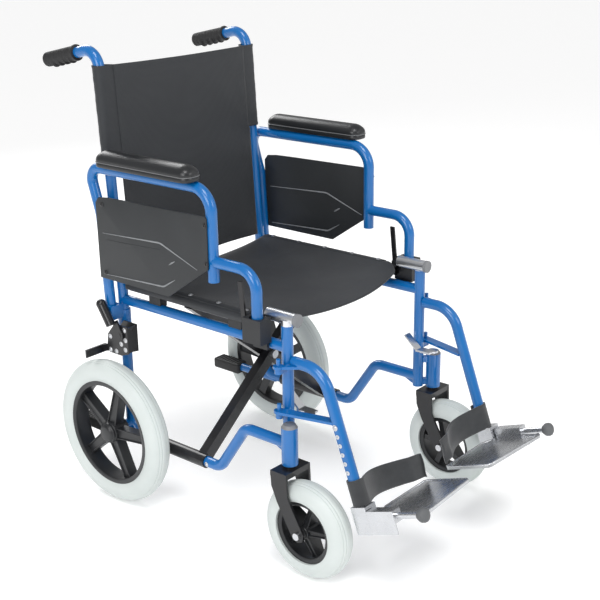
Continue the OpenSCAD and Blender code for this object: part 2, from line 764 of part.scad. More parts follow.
module brace(y, side) {
    // One leg with its hinge sleeve on a lower rail and its seat tube on the other side
    half = leg_w/2;
    hinge_y = -leg_y - leg_t/2 - 3;
    bolt_at = frame_x/cos(leg_angle);
    on_side(side) difference() {
        union() {
            translate([-frame_x, y + leg_t/2, low_rail_z]) rotate([90, -leg_angle, 0])
                translate([0, -half, 0]) cube([leg_len - 4, leg_w, leg_t]);
            in_plane(-frame_x) rod_route([[hinge_y, low_rail_z], [hinge_y + hinge_len, low_rail_z]], 0, sleeve_d);
            in_plane(seat_x) rod_route([[-25, seat_z], [-25 - seat_tube_len, seat_z]], 0, tube_d);
        }
        translate([-frame_x, y + leg_t/2 - leg_wall, low_rail_z]) rotate([90, -leg_angle, 0])
            translate([sleeve_d/2 + 4, leg_wall - half, 0])
                cube([leg_len - sleeve_d/2 - 24, leg_w - 2*leg_wall, leg_t - 2*leg_wall]);
        in_plane(-frame_x) rod_route(
            [[hinge_y - 1, low_rail_z], [hinge_y + hinge_len + 1, low_rail_z]], 0, tube_d + 2*run_gap);
        in_plane(seat_x) rod_route([[-24, seat_z], [-26 - seat_tube_len, seat_z]], 0, tube_d - 2*tube_wall);
        translate([0, y + leg_t, low_rail_z + bolt_at*sin(leg_angle)]) rotate([90, 0, 0])
            cylinder(h = 2*leg_t, d = brace_bolt_d + 2*run_gap);
    }
}

module brace_front() {
    color(BLACK) brace(-leg_y, 1);
}

module brace_rear() {
    color(BLACK) brace(-leg_y + leg_pitch, -1);
}

module brace_bolt() {
    front = -leg_y - leg_t/2;
    back = -leg_y + leg_pitch + leg_t/2;
    color(SILVER) translate([0, 0, cross_z]) rotate([90, 0, 0]) union() {
        translate([0, 0, -back - 0.1]) cylinder(h = back - front + 0.2, d = brace_bolt_d);
        translate([0, 0, -front + 0.1]) cylinder(h = 6, d = brace_bolt_d + 8);
        translate([0, 0, -back - 6.1]) cylinder(h = 6, d = brace_bolt_d + 8);
        translate([0, 0, -back + leg_t + 0.3]) cylinder(h = leg_pitch - leg_t - 0.6, d = brace_bolt_d + 10);
    }
}

module seat_cloth() {
    // Sling between the seat tubes
    edge = seat_x + 9;
    top = seat_z + tube_r + gap + seat_t;
    function sagged(x) = top - seat_sag*(1 - pow(x/edge, 2));
    steps = [for (k = [-12:12]) k*edge/12];
    reach = seat_tube_len + 25;
    color(CLOTH) intersection() {
        in_front(-20, reach + 50) polygon(concat(
            [for (x = steps) [x, abs(x) > seat_x - 14 ? top : sagged(x)]],
            [for (x = [for (k = [12:-1:-12]) k*edge/12]) [x, abs(x) > seat_x - 14 ? top - seat_t : sagged(x) - seat_t]]
        ));
        translate([0, 0, seat_z - 60]) linear_extrude(120) polygon([
            [-edge, -22], [edge, -22], [edge, -reach + 30], [seat_x - 32, -reach - 12],
            [seat_x*0.5, -reach - 32], [0, -reach - 38], [-seat_x*0.5, -reach - 32],
            [-seat_x + 32, -reach - 12], [-edge, -reach + 30]
        ]);
    }
}

// An outline in the x-z plane, pushed forward from y by depth
module in_front(y, depth) {
    translate([0, y, 0]) rotate([90, 0, 0]) linear_extrude(depth) children();
}

module back_cloth() {
    // Panel between the canes, sewn into a sleeve round each cane
    up = (back_top_z - recline_z)/cos(recline);
    low = seat_z + tube_r + 10 - recline_z;
    color(CLOTH) translate([0, 0, recline_z]) rotate([-recline, 0, 0]) difference() {
        union() {
            translate([-frame_x + tube_r + 2, -tube_r - back_t, low]) cube([frame_gap - tube_d - 4, back_t, up - low]);
            for (s = [-1, 1]) {
                translate([s*frame_x, 0, up - sleeve_h]) cylinder(h = sleeve_h, d = tube_d + 2*back_t);
                translate([s*frame_x - tube_r - 3, -tube_r - back_t, up - sleeve_h])
                    cube([tube_d + 6, back_t, sleeve_h]);
            }
        }
        for (s = [-1, 1]) {
            translate([s*frame_x, 0, low - 1]) cylinder(h = up, d = tube_d + 2*gap);
            translate([s*frame_x, 0.8, up - 9]) cylinder(h = 10, d = tube_d + 2*gap);
        }
    }
}

// ---- assembly ----

module show(s) {
    place() on_side(s) children();
}

show(-1) side_frame();  // right_side_frame
show(-1) seat_saddles();  // right_seat_saddles
show(-1) arm_socket();  // right_arm_socket
show(-1) tube_caps();  // right_tube_caps
show(-1) hand_grip();  // right_hand_grip
show(-1) tipping_pedal();  // right_tipping_pedal
show(-1) brake_bracket();  // right_brake_bracket
show(-1) wheel_axle();  // right_wheel_axle
show(-1) stem_bearings();  // right_stem_bearings
show(-1) brake_lever();  // right_brake_lever
show(-1) brake_shoe();  // right_brake_shoe
show(-1) arm_tube();  // right_arm_tube
show(-1) arm_pad();  // right_arm_pad
show(-1) skirt_guard();  // right_skirt_guard
show(-1) arm_release();  // right_arm_release
show(-1) rear_tyre();  // right_rear_tyre
show(-1) rear_rim();  // right_rear_rim
show(-1) castor_fork();  // right_castor_fork
show(-1) castor_axle();  // right_castor_axle
show(-1) castor_tyre();  // right_castor_tyre
show(-1) castor_rim();  // right_castor_rim
show(-1) hanger();  // right_hanger
show(-1) hanger_latch();  // right_hanger_latch
show(-1) foot_slider();  // right_foot_slider
show(-1) footplate();  // right_footplate
show(-1) bumper();  // right_bumper
show(-1) heel_strap();  // right_heel_strap
show(1) side_frame();  // left_side_frame
show(1) seat_saddles();  // left_seat_saddles
show(1) arm_socket();  // left_arm_socket
show(1) tube_caps();  // left_tube_caps
show(1) hand_grip();  // left_hand_grip
show(1) tipping_pedal();  // left_tipping_pedal
show(1) brake_bracket();  // left_brake_bracket
show(1) wheel_axle();  // left_wheel_axle
show(1) stem_bearings();  // left_stem_bearings
show(1) brake_lever();  // left_brake_lever
show(1) brake_shoe();  // left_brake_shoe
show(1) arm_tube();  // left_arm_tube
show(1) arm_pad();  // left_arm_pad
show(1) skirt_guard();  // left_skirt_guard
show(1) arm_release();  // left_arm_release
show(1) rear_tyre();  // left_rear_tyre
show(1) rear_rim();  // left_rear_rim
show(1) castor_fork();  // left_castor_fork
show(1) castor_axle();  // left_castor_axle
show(1) castor_tyre();  // left_castor_tyre
show(1) castor_rim();  // left_castor_rim
show(1) hanger();  // left_hanger
show(1) hanger_latch();  // left_hanger_latch
show(1) foot_slider();  // left_foot_slider
show(1) footplate();  // left_footplate
show(1) bumper();  // left_bumper
show(1) heel_strap();  // left_heel_strap
show(1) brace_front();
show(1) brace_rear();
show(1) brace_bolt();
show(1) seat_cloth();
show(1) back_cloth();
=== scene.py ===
"""A folding wheelchair pushed by an attendant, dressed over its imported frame."""

import math

import bpy
from mathutils import Matrix, Vector


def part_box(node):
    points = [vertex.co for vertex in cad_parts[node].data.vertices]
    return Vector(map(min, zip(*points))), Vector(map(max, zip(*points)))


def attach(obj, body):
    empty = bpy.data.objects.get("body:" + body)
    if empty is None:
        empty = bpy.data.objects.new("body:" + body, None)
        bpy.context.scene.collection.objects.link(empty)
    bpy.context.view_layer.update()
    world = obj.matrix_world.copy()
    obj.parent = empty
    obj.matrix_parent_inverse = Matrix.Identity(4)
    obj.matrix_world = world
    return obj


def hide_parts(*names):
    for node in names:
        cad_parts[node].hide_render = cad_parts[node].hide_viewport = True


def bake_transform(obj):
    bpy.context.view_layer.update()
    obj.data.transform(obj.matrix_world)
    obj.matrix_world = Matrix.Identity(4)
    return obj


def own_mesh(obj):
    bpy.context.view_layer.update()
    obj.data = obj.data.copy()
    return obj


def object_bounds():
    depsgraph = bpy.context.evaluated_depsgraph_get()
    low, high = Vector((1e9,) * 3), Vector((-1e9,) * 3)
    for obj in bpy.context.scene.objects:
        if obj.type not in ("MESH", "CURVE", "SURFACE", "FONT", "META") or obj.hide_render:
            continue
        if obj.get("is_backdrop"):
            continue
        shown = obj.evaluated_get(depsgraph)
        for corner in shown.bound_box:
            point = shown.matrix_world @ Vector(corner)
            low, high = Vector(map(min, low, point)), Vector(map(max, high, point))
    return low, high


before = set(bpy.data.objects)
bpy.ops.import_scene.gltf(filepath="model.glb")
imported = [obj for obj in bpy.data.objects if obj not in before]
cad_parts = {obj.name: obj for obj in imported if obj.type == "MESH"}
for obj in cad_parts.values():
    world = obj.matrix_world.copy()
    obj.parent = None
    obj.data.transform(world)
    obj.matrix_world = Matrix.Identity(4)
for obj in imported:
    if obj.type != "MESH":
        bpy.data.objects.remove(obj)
cad_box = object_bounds()
SIDES = (("right", -1), ("left", 1))

# ---- Camera, floor and lights ----
# A long lens a little above the armrests, at the chair's front right corner.
# The floor is pale and matt, and wide soft boxes stand on both sides and above.
upright_y = sum(c.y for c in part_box("left_wheel_axle"))/2
shot = bpy.data.objects.new("camera", bpy.data.cameras.new("camera"))
bpy.context.scene.collection.objects.link(shot)
bpy.context.scene.camera = shot
shot.data.lens = 68.6
shot.data.sensor_width = 36
shot.data.shift_x = 0.0117
shot.data.shift_y = 0.0043
turn, dip, roll = math.radians(49.07), math.radians(19.10), math.radians(-1.01)
ahead = Vector((math.sin(turn)*math.cos(dip), math.cos(turn)*math.cos(dip), -math.sin(dip)))
across = Vector((math.cos(turn), -math.sin(turn), 0))
above = across.cross(ahead)
cam_x = across*math.cos(roll) + above*math.sin(roll)
cam_y = above*math.cos(roll) - across*math.sin(roll)
shot.matrix_world = Matrix((
    (cam_x.x, cam_y.x, -ahead.x, -1.6566),
    (cam_x.y, cam_y.y, -ahead.y, -1.7144 + upright_y),
    (cam_x.z, cam_y.z, -ahead.z, 1.1854),
    (0, 0, 0, 1)))

bpy.ops.mesh.primitive_plane_add(size=160, location=(0, 0, -0.0005))
floor = bpy.context.object
floor.name = "floor"
floor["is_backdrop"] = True
plaster = bpy.data.materials.new("pale_floor")
plaster.use_nodes = True
plaster_face = plaster.node_tree.nodes["Principled BSDF"].inputs
plaster_face["Base Color"].default_value = (0.93, 0.93, 0.93, 1)
plaster_face["Roughness"].default_value = 0.9
plaster_face["Emission Color"].default_value = (1, 1, 1, 1)
plaster_face["Emission Strength"].default_value = 0.2
floor.data.materials.append(plaster)

world = bpy.data.worlds.new("studio")
bpy.context.scene.world = world
world.use_nodes = True
world.node_tree.nodes["Background"].inputs["Color"].default_value = (1, 1, 1, 1)
world.node_tree.nodes["Background"].inputs["Strength"].default_value = 0.42
for name, place, spread, power in (
        ("key_light", (-1.0, -1.0, 2.8), 24, 1.25), ("fill_light", (2.4, -2.6, 1.8), 50, 0.25)):
    lamp = bpy.data.objects.new(name, bpy.data.lights.new(name, "SUN"))
    lamp.data.energy = power
    lamp.data.angle = math.radians(spread)
    lamp.rotation_euler = Vector(place).to_track_quat("Z", "Y").to_euler()
    bpy.context.scene.collection.objects.link(lamp)
for name, place, size, power in (
        ("left_box", (-2.4, -0.6, 1.6), 1.2, 26), ("front_box", (0.4, -2.8, 1.9), 1.0, 16),
        ("back_box", (0.8, 2.4, 2.2), 1.4, 40)):
    lamp = bpy.data.objects.new(name, bpy.data.lights.new(name, "AREA"))
    lamp.data.energy = power
    lamp.data.size = size
    lamp.location = place
    lamp.rotation_euler = (Vector(place) - Vector((0, 0, 0.4))).to_track_quat("Z", "Y").to_euler()
    bpy.context.scene.collection.objects.link(lamp)
bpy.context.scene.view_settings.view_transform = "Standard"


# ---- Painted tube ----
# The side frames, armrests and footrest hangers are bent steel tube in a blue gloss powder
# coat. The coat has a faint orange peel, and the short tube over each front post is plated.
class Wire:
    """A shader socket that can be used in a sum."""

    def __init__(self, finish, socket):
        self.finish, self.socket = finish, socket

    def calc(self, operation, a, b):
        return self.finish.node("ShaderNodeMath", {"operation": operation}, {0: a, 1: b})

    def __add__(self, other):
        return self.calc("ADD", self, other)

    def __sub__(self, other):
        return self.calc("SUBTRACT", self, other)

    def __rsub__(self, other):
        return self.calc("SUBTRACT", other, self)

    def __mul__(self, other):
        return self.calc("MULTIPLY", self, other)

    def __gt__(self, other):
        return self.calc("GREATER_THAN", self, other)

    def __lt__(self, other):
        return self.calc("LESS_THAN", self, other)

    __radd__ = __add__
    __rmul__ = __mul__


class Finish:
    """One node material: a Principled shader, and the nodes that vary it."""

    def __init__(self, name, colour, roughness, metallic=0.0, coat=0.0, sheen=0.0):
        self.material = bpy.data.materials.new(name)
        self.material.use_nodes = True
        self.tree = self.material.node_tree
        self.shader = self.tree.nodes["Principled BSDF"]
        self.material.diffuse_color = (*colour, 1)
        self.set("Base Color", (*colour, 1))
        self.set("Roughness", roughness)
        self.set("Metallic", metallic)
        self.set("Coat Weight", coat)
        self.set("Coat Roughness", 0.08)
        self.set("Sheen Weight", sheen)
        self.place = self.node("ShaderNodeTexCoord", {}, {}, out="Object")

    def set(self, socket, value):
        if isinstance(value, Wire):
            self.tree.links.new(value.socket, self.shader.inputs[socket])
        else:
            self.shader.inputs[socket].default_value = value

    def node(self, kind, settings, sockets, out=0):
        made = self.tree.nodes.new(kind)
        for key, value in settings.items():
            setattr(made, key, value)
        for key, value in sockets.items():
            if isinstance(value, Wire):
                self.tree.links.new(value.socket, made.inputs[key])
            else:
                made.inputs[key].default_value = value
        return Wire(self, made.outputs[out])

    def axis(self, letter):
        return self.node("ShaderNodeSeparateXYZ", {}, {0: self.place}, out=letter)

    def noise(self, scale, detail=2.0, source=None):
        sockets = {"Vector": source or self.place, "Scale": scale, "Detail": detail}
        return self.node("ShaderNodeTexNoise", {}, sockets, out=0)

    def stretched(self, x, y, z):
        return self.node("ShaderNodeMapping", {}, {"Vector": self.place, "Scale": (x, y, z)})

    def tint(self, amount, dark, light):
        sockets = {0: amount, 6: (*dark, 1), 7: (*light, 1)}
        return self.node("ShaderNodeMix", {"data_type": "RGBA"}, sockets, out=2)

    def bump(self, height, strength, distance):
        sockets = {"Height": height, "Strength": strength, "Distance": distance}
        self.set("Normal", self.node("ShaderNodeBump", {}, sockets))


def dress(nodes, finish):
    for name in nodes:
        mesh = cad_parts[name].data
        mesh.materials.clear()
        mesh.materials.append(finish.material)


def painted(name, dark, light):
    paint = Finish(name, light, 0.28, coat=0.45)
    paint.set("Base Color", paint.tint(paint.noise(9.0), dark, light))
    paint.set("Roughness", 0.24 + 0.12*paint.noise(35.0, 4.0))
    paint.bump(paint.noise(420.0), 0.05, 0.0006)
    return paint


blue = painted("blue_powder_coat", (0.0, 0.115, 0.37), (0.0, 0.15, 0.46))
plain_blue = painted("blue_hanger_coat", (0.0, 0.115, 0.37), (0.0, 0.15, 0.46))
height, depth = blue.axis("Z"), blue.axis("Y")
on_dock = (height > 0.4757)*(height < 0.5005)*(depth < upright_y - 0.390)
blue.set("Base Color", blue.tint(on_dock, (0.0, 0.133, 0.42), (0.72, 0.73, 0.75)))
blue.set("Metallic", on_dock)
dress([s + "_side_frame" for s, k in SIDES], blue)
dress([s + part for s, k in SIDES for part in ("_arm_tube", "_hanger")], plain_blue)

# ---- Enamelled steel, plated steel, cast aluminium and moulded trim ----
# The scissor brace, brakes and forks are black enamel; bolts, bearings and catches are zinc
# plate; the footrest blocks and plates are polished castings; plugs and cups are nylon.
black = painted("black_enamel", (0.008, 0.008, 0.009), (0.014, 0.014, 0.016))
black.set("Coat Weight", 0.25)
black.set("Specular IOR Level", 0.35)
dress(["brace_front", "brace_rear"] + [s + part for s, k in SIDES for part in (
    "_brake_bracket", "_brake_lever", "_brake_shoe", "_castor_fork", "_arm_release")], black)

zinc = Finish("zinc_plate", (0.62, 0.63, 0.65), 0.3, metallic=1.0)
zinc.set("Roughness", 0.2 + 0.22*zinc.noise(160.0, 3.0))
zinc.bump(zinc.noise(600.0), 0.05, 0.0004)
dress(["brace_bolt"] + [s + part for s, k in SIDES for part in (
    "_wheel_axle", "_stem_bearings", "_castor_axle", "_hanger_latch")], zinc)

casting = Finish("polished_casting", (0.62, 0.63, 0.65), 0.22, metallic=1.0)
casting.set("Base Color", casting.tint(
    casting.noise(22.0, 3.0), (0.50, 0.51, 0.53), (0.70, 0.71, 0.73)))
casting.set("Roughness", 0.14 + 0.24*casting.noise(60.0, 4.0, casting.stretched(1, 12, 12)))
casting.bump(casting.noise(900.0), 0.06, 0.0004)
dress([s + part for s, k in SIDES for part in ("_foot_slider", "_footplate")], casting)

grey = Finish("grey_nylon", (0.13, 0.135, 0.145), 0.5)
grey.set("Base Color", grey.tint(grey.noise(30.0), (0.16, 0.165, 0.175), (0.24, 0.245, 0.255)))
grey.bump(grey.noise(1400.0), 0.12, 0.0005)
dress([s + "_tube_caps" for s, k in SIDES], grey)

moulding = Finish("black_moulding", (0.018, 0.019, 0.021), 0.48)
moulding.set("Roughness", 0.42 + 0.16*moulding.noise(40.0))
moulding.bump(moulding.noise(1500.0), 0.15, 0.0005)
dress([s + part for s, k in SIDES for part in ("_seat_saddles", "_arm_socket")], moulding)


# ---- Tyres ----
# Solid pale rubber tyres, moulded in one piece and stretched on the rims. Each has three
# fine grooves round the tread and a bead that sits down in the rim.
def spot(x, y, z):
    """A place measured in millimetres from the rear upright, on the floor."""
    return Vector((x/1000, y/1000 + upright_y, z/1000))


def alone(thing):
    bpy.ops.object.select_all(action="DESELECT")
    thing.select_set(True)
    bpy.context.view_layer.objects.active = thing


def tidy_skin(thing, angle=35):
    """Joins the doubles, turns the faces outwards and shades the curves smooth."""
    alone(thing)
    bpy.ops.object.mode_set(mode="EDIT")
    bpy.ops.mesh.select_all(action="SELECT")
    bpy.ops.mesh.remove_doubles(threshold=0.000004)
    bpy.ops.mesh.normals_make_consistent(inside=False)
    bpy.ops.object.mode_set(mode="OBJECT")
    bpy.ops.object.shade_smooth_by_angle(angle=math.radians(angle))
    return thing


def skin(name, rings, angle=35):
    """A surface drawn through rows of points, one row after the other."""
    bpy.ops.object.select_all(action="DESELECT")
    bpy.ops.mesh.primitive_grid_add(
        x_subdivisions=len(rings[0]) - 1, y_subdivisions=len(rings) - 1, size=1)
    thing = bpy.context.object
    thing.name = thing.data.name = name
    flat = [c for ring in rings for p in ring for c in p]
    thing.data.vertices.foreach_set("co", flat)
    thing.data.update()
    return tidy_skin(thing, angle)


def turned(name, outline, centre, axis, steps=96, angle=35):
    """A closed outline of (along, radius) in millimetres, spun about an axis."""
    bpy.ops.object.select_all(action="DESELECT")
    bpy.ops.mesh.primitive_circle_add(vertices=len(outline), radius=0.1)
    thing = bpy.context.object
    thing.name = thing.data.name = name
    thing.data.vertices.foreach_set("co", [c for a, r in outline for c in (r/1000, 0, a/1000)])
    bpy.ops.object.mode_set(mode="EDIT")
    bpy.ops.mesh.select_all(action="SELECT")
    bpy.ops.mesh.spin(steps=steps, angle=2*math.pi, center=(0, 0, 0), axis=(0, 0, 1))
    bpy.ops.object.mode_set(mode="OBJECT")
    lie = axis.to_track_quat("Z", "Y").to_matrix().to_4x4()
    thing.data.transform(Matrix.Translation(centre) @ lie)
    return tidy_skin(thing, angle)


def wear(thing, finish):
    thing.data.materials.clear()
    thing.data.materials.append(finish.material)
    return thing


rubber = Finish("pale_rubber", (0.60, 0.65, 0.63), 0.5)
rubber.set("Base Color", rubber.tint(
    rubber.noise(14.0, 5.0), (0.55, 0.60, 0.585), (0.66, 0.70, 0.685)))
rubber.set("Roughness", 0.42 + 0.2*rubber.noise(50.0, 3.0))
rubber.bump(rubber.noise(700.0, 3.0), 0.12, 0.0008)


def tyre_outline(outer, width, seat):
    """The tyre's section: round, with three grooves in the tread, cut off at the rim."""
    half, points = width/2, []
    mid = outer - half
    start = math.acos(max(-1, min(1, (seat - mid)/half)))
    for n in range(97):
        a = -start + 2*start*n/96
        dip = sum(1.1*math.exp(-((math.degrees(a) - g)/2.2)**2) for g in (-30, -16, 16, 30))
        r = half - dip
        points.append((r*math.sin(a), mid + r*math.cos(a)))
    return points


for side, k in SIDES:
    low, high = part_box(side + "_rear_tyre")
    hub = (low + high)/2
    tyre = turned(side + "_rear_tyre_rubber", tyre_outline(155, 50, 113.2), hub,
                  Vector((k, 0, 0)), 128)
    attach(wear(tyre, rubber), side + "_rear_wheel")
    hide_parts(side + "_rear_tyre")
    low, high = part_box(side + "_castor_tyre")
    hub = (low + high)/2
    tyre = turned(side + "_castor_tyre_rubber", tyre_outline(96, 50, 62.2), hub,
                  Vector((k, 0, 0)), 112)
    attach(wear(tyre, rubber), side + "_castor")
    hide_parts(side + "_castor_tyre")

# ---- Wheel centres ----
# Moulded nylon centres. Five channelled spokes run from a proud hub to a deep rim, and
# a pressed cap closes the hub's outer end.
nylon = Finish("wheel_nylon", (0.016, 0.017, 0.019), 0.36)
nylon.set("Roughness", 0.3 + 0.16*nylon.noise(45.0, 3.0))
nylon.bump(nylon.noise(1100.0), 0.1, 0.0005)


def join(name, parts):
    alone(parts[0])
    for part in parts[1:]:
        part.select_set(True)
    bpy.ops.object.join()
    parts[0].name = parts[0].data.name = name
    return parts[0]


def spoke(hub, k, turn, reach, wide, face, back):
    """One channelled spoke: raised edges and a sunk middle, dished towards the rim."""
    rings = []
    for n in range(13):
        t = n/12
        r = reach[0] + (reach[1] - reach[0])*t
        w = (wide[0] + (wide[1] - wide[0])*t + 5*max(0, t - 0.85)/0.15*0.6)/2
        f = face[0] + (face[1] - face[0])*t**0.8
        b = back[0] + (back[1] - back[0])*t
        section = [(-w, b), (-w, f - 1), (-w + 0.8, f), (-w + 2.2, f), (-w + 3.4, f - 3.2), (0, f - 3.6),
                   (w - 3.4, f - 3.2), (w - 2.2, f), (w - 0.8, f), (w, f - 1), (w, b), (0, b), (-w, b)]
        ring = []
        for u, a in section:
            y = r*math.cos(turn) - u*math.sin(turn)
            z = r*math.sin(turn) + u*math.cos(turn)
            ring.append(hub + Vector((k*a, y, z))/1000)
        rings.append(ring)
    return skin("spoke", rings, 30)


def wheel_centre(name, hub, k, rim, lip, hub_r, hub_half, bore):
    well = lip - 4
    hoop = [(-lip, rim), (-lip, rim - 7), (-lip + 1.5, rim - 9.5), (-well + 4, rim - 10.5), (0, rim - 9),
            (well - 4, rim - 10.5), (lip - 1.5, rim - 9.5), (lip, rim - 7), (lip, rim), (lip - 2, rim + 1.5),
            (lip - 4, rim), (-lip + 4, rim), (-lip + 2, rim + 1.5)]
    barrel = [(-hub_half, bore), (-hub_half, hub_r - 2), (-hub_half + 1.5, hub_r - 0.5), (-6, hub_r + 2),
              (8, hub_r + 1.5), (hub_half - 7, hub_r), (hub_half - 6, hub_r - 1.2),
              (hub_half - 2, hub_r - 1.6),
              (hub_half, hub_r - 3.5), (hub_half, bore)]
    out = Vector((k, 0, 0))
    parts = [turned("hoop", hoop, hub, out, 96), turned("barrel", barrel, hub, out, 48)]
    for n in range(5):
        turn = math.radians(90 + 72*n + (14 if k < 0 else -14))
        parts.append(spoke(hub, k, turn, (hub_r - 2, rim - 9), (hub_r*1.05, hub_r*0.8),
                           (hub_half - 9, lip - 11), (-hub_half + 12, 4 - lip)))
    return wear(join(name, parts), nylon)


for side, k in SIDES:
    low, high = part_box(side + "_rear_rim")
    hub = Vector((k*0.257, (low.y + high.y)/2, (low.z + high.z)/2))
    centre = wheel_centre(side + "_rear_wheel_centre", hub, k, 113, 19, 23, 22, 6.3)
    cap = turned("cap", [(26.5, 0.01), (26.5, 13.5), (25.6, 16), (23, 18.6), (18, 20.4), (18, 0.01)],
                 hub, Vector((k, 0, 0)), 48)
    centre = wear(join(side + "_rear_wheel_centre", [centre, cap]), nylon)
    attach(centre, side + "_rear_wheel")
    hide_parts(side + "_rear_rim")
    low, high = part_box(side + "_castor_rim")
    hub = (low + high)/2
    centre = wheel_centre(side + "_castor_centre", hub, k, 62, 19, 13, 26.5, 4.2)
    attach(centre, side + "_castor")
    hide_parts(side + "_castor_rim")

# ---- Hand grips ----
# Soft black grips pushed over the bent handle tubes, with a flange at the thumb end, fine
# rings all round, four finger bumps beneath and a rounded closed end.
soft = Finish("grip_rubber", (0.014, 0.014, 0.015), 0.55)
soft.set("Roughness", 0.5 + 0.14*soft.noise(60.0, 3.0))
soft.bump(soft.noise(1300.0, 3.0), 0.2, 0.0006)
fall, lean = math.radians(12), math.radians(3.2)
frame_x, cane_foot, grip_z = 209, 448, 936
corner_y = (grip_z - cane_foot)*math.tan(lean)
for side, k in SIDES:
    rings = []
    for n in range(131):
        along = n*101/130
        r = 14.3 + 0.45*math.cos(2*math.pi*along/3.4) - (0.45 if along > 95 else 0)
        if along < 7:
            r = 16.3 - 1.2*max(0, along - 5.4)
        if along < 1.2:
            r = 15.2 + along*0.9
        if along > 94:
            r *= math.sqrt(max(0.0, 1 - ((along - 94)/7)**2)) + 0.0001
        ring = []
        for m in range(33):
            a = 2*math.pi*m/32
            down = max(0.0, -math.cos(a))
            bump = 4.2*max(0.0, math.sin(2*math.pi*(along - 14)/17.5)) if 14 < along < 84 else 0
            rr = r + bump*down**1.5
            if along == 0:
                rr = 11.3
            c = 61 + along
            up = rr*math.cos(a)
            y = corner_y + c*math.cos(fall) + up*math.sin(fall)
            z = grip_z - c*math.sin(fall) + up*math.cos(fall)
            ring.append(spot(k*(frame_x + rr*math.sin(a)), y, z))
        rings.append(ring)
    grip = wear(skin(side + "_grip", rings, 50), soft)
    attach(grip, side + "_frame")
    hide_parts(side + "_hand_grip")

# ---- Tipping pedals ----
# Black rubber blocks pressed over the tubes behind the rear wheels, ribbed on top so that a
# shoe does not slip off when the attendant tips the chair at a kerb.
for side, k in SIDES:
    low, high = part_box(side + "_tipping_pedal")
    bpy.ops.object.select_all(action="DESELECT")
    bpy.ops.mesh.primitive_cube_add(size=1, location=(low + high)/2)
    pedal = bpy.context.object
    pedal.name = pedal.data.name = side + "_pedal_rubber"
    pedal.scale = (high.x - low.x, high.y - low.y, high.z - low.z - 0.002)
    bpy.ops.object.transform_apply(location=True, rotation=True, scale=True)
    bevel = pedal.modifiers.new("round", "BEVEL")
    bevel.width, bevel.segments = 0.005, 4
    bpy.ops.object.modifier_apply(modifier="round")
    ribs = [pedal]
    for n in range(9):
        bpy.ops.object.select_all(action="DESELECT")
        y = low.y + (high.y - low.y)*(n + 1)/10
        bpy.ops.mesh.primitive_cube_add(size=1, location=((low.x + high.x)/2, y, high.z - 0.0012))
        rib = bpy.context.object
        rib.scale = (0.028, 0.0034, 0.0036)
        bpy.ops.object.transform_apply(location=True, rotation=True, scale=True)
        edge = rib.modifiers.new("edge", "BEVEL")
        edge.width, edge.segments = 0.001, 2
        bpy.ops.object.modifier_apply(modifier="edge")
        ribs.append(rib)
    pedal = wear(tidy_skin(join(side + "_pedal_rubber", ribs)), soft)
    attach(pedal, side + "_frame")
    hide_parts(side + "_tipping_pedal")

# ---- Arm pads ----
# A board with foam on it under black vinyl. The vinyl is drawn over a crowned top and
# meets a straight skirt at a welted seam.
vinyl = Finish("black_vinyl", (0.016, 0.017, 0.019), 0.4)
grain = vinyl.node("ShaderNodeTexVoronoi", {}, {"Vector": vinyl.place, "Scale": 620.0}, out="Distance")
vinyl.set("Roughness", 0.24 + 0.14*vinyl.noise(24.0, 4.0))
pad_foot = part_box("left_arm_pad")[0].z
on_welt = (vinyl.axis("Z") > pad_foot + 0.0092)*(vinyl.axis("Z") < pad_foot + 0.0110)
vinyl.set("Base Color", vinyl.tint(on_welt, (0.014, 0.015, 0.017), (0.16, 0.165, 0.17)))
vinyl.bump(grain + 0.5*vinyl.noise(300.0, 4.0), 0.16, 0.0008)


def pad_ring(inset, z, low, high):
    """The pad's outline at one height: long sides, with well rounded corners."""
    ring = []
    half, end = (high.x - low.x)/2 - inset, (high.y - low.y)/2 - inset
    mid = (low + high)/2
    r = max(0.0006, min(half, 0.019 - inset*0.3))
    for n in range(97):
        a = 2*math.pi*n/96
        cx = math.copysign(half - r, math.cos(a)) if abs(math.cos(a)) > 1e-9 else 0
        cy = math.copysign(end - r, math.sin(a)) if abs(math.sin(a)) > 1e-9 else 0
        ring.append(Vector((mid.x + cx + r*math.cos(a), mid.y + cy + r*math.sin(a), z)))
    return ring


for side, k in SIDES:
    low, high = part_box(side + "_arm_pad")
    z0 = low.z
    profile = [(8, 0), (2.2, 0), (0.5, 0.8), (0.0, 3), (0.0, 8.6), (0.3, 9.0), (-0.5, 9.5),
               (-0.9, 10.1), (-0.5, 10.7), (0.3, 11.2), (0.0, 12), (0.1, 15),
               (1.0, 18.5), (3.0, 22), (6.2, 25.2), (10.5, 28), (15, 29.8), (19.5, 30.7),
               (22.6, 31.0)]
    rings = [pad_ring(i/1000, z0 + h/1000, low, high) for i, h in profile]
    pad = skin(side + "_pad", rings, 60)
    alone(pad)
    bpy.ops.object.mode_set(mode="EDIT")
    bpy.ops.mesh.select_all(action="DESELECT")
    bpy.ops.mesh.select_non_manifold()
    bpy.ops.mesh.fill()
    bpy.ops.mesh.select_all(action="SELECT")
    bpy.ops.mesh.normals_make_consistent(inside=False)
    bpy.ops.object.mode_set(mode="OBJECT")
    wear(pad, vinyl)
    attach(pad, side + "_armrest")
    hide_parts(side + "_arm_pad")

# ---- Skirt guards ----
# Thin black sheets fixed to both posts of each armrest, so that clothes stay off the wheel.
# Pressed ribs stiffen both faces, and four pan-head screws with washers hold it. The ribs are painted light
# grey as a painted highlight along their raised edges.
panel = Finish("guard_panel", (0.030, 0.033, 0.036), 0.55)
panel.set("Base Color", panel.tint(
    panel.noise(12.0, 4.0), (0.017, 0.019, 0.021), (0.027, 0.030, 0.033)))
panel.bump(panel.noise(1000.0, 4.0), 0.3, 0.0008)
# Painted highlight for the ribs: a light grey, in random lighter and darker patches.
rib_highlight = Finish("painted_highlight_rib", (0.20, 0.21, 0.22), 0.35)
rib_highlight.set("Base Color", rib_highlight.tint(
    rib_highlight.noise(90.0, 4.0), (0.12, 0.13, 0.14), (0.34, 0.35, 0.36)))


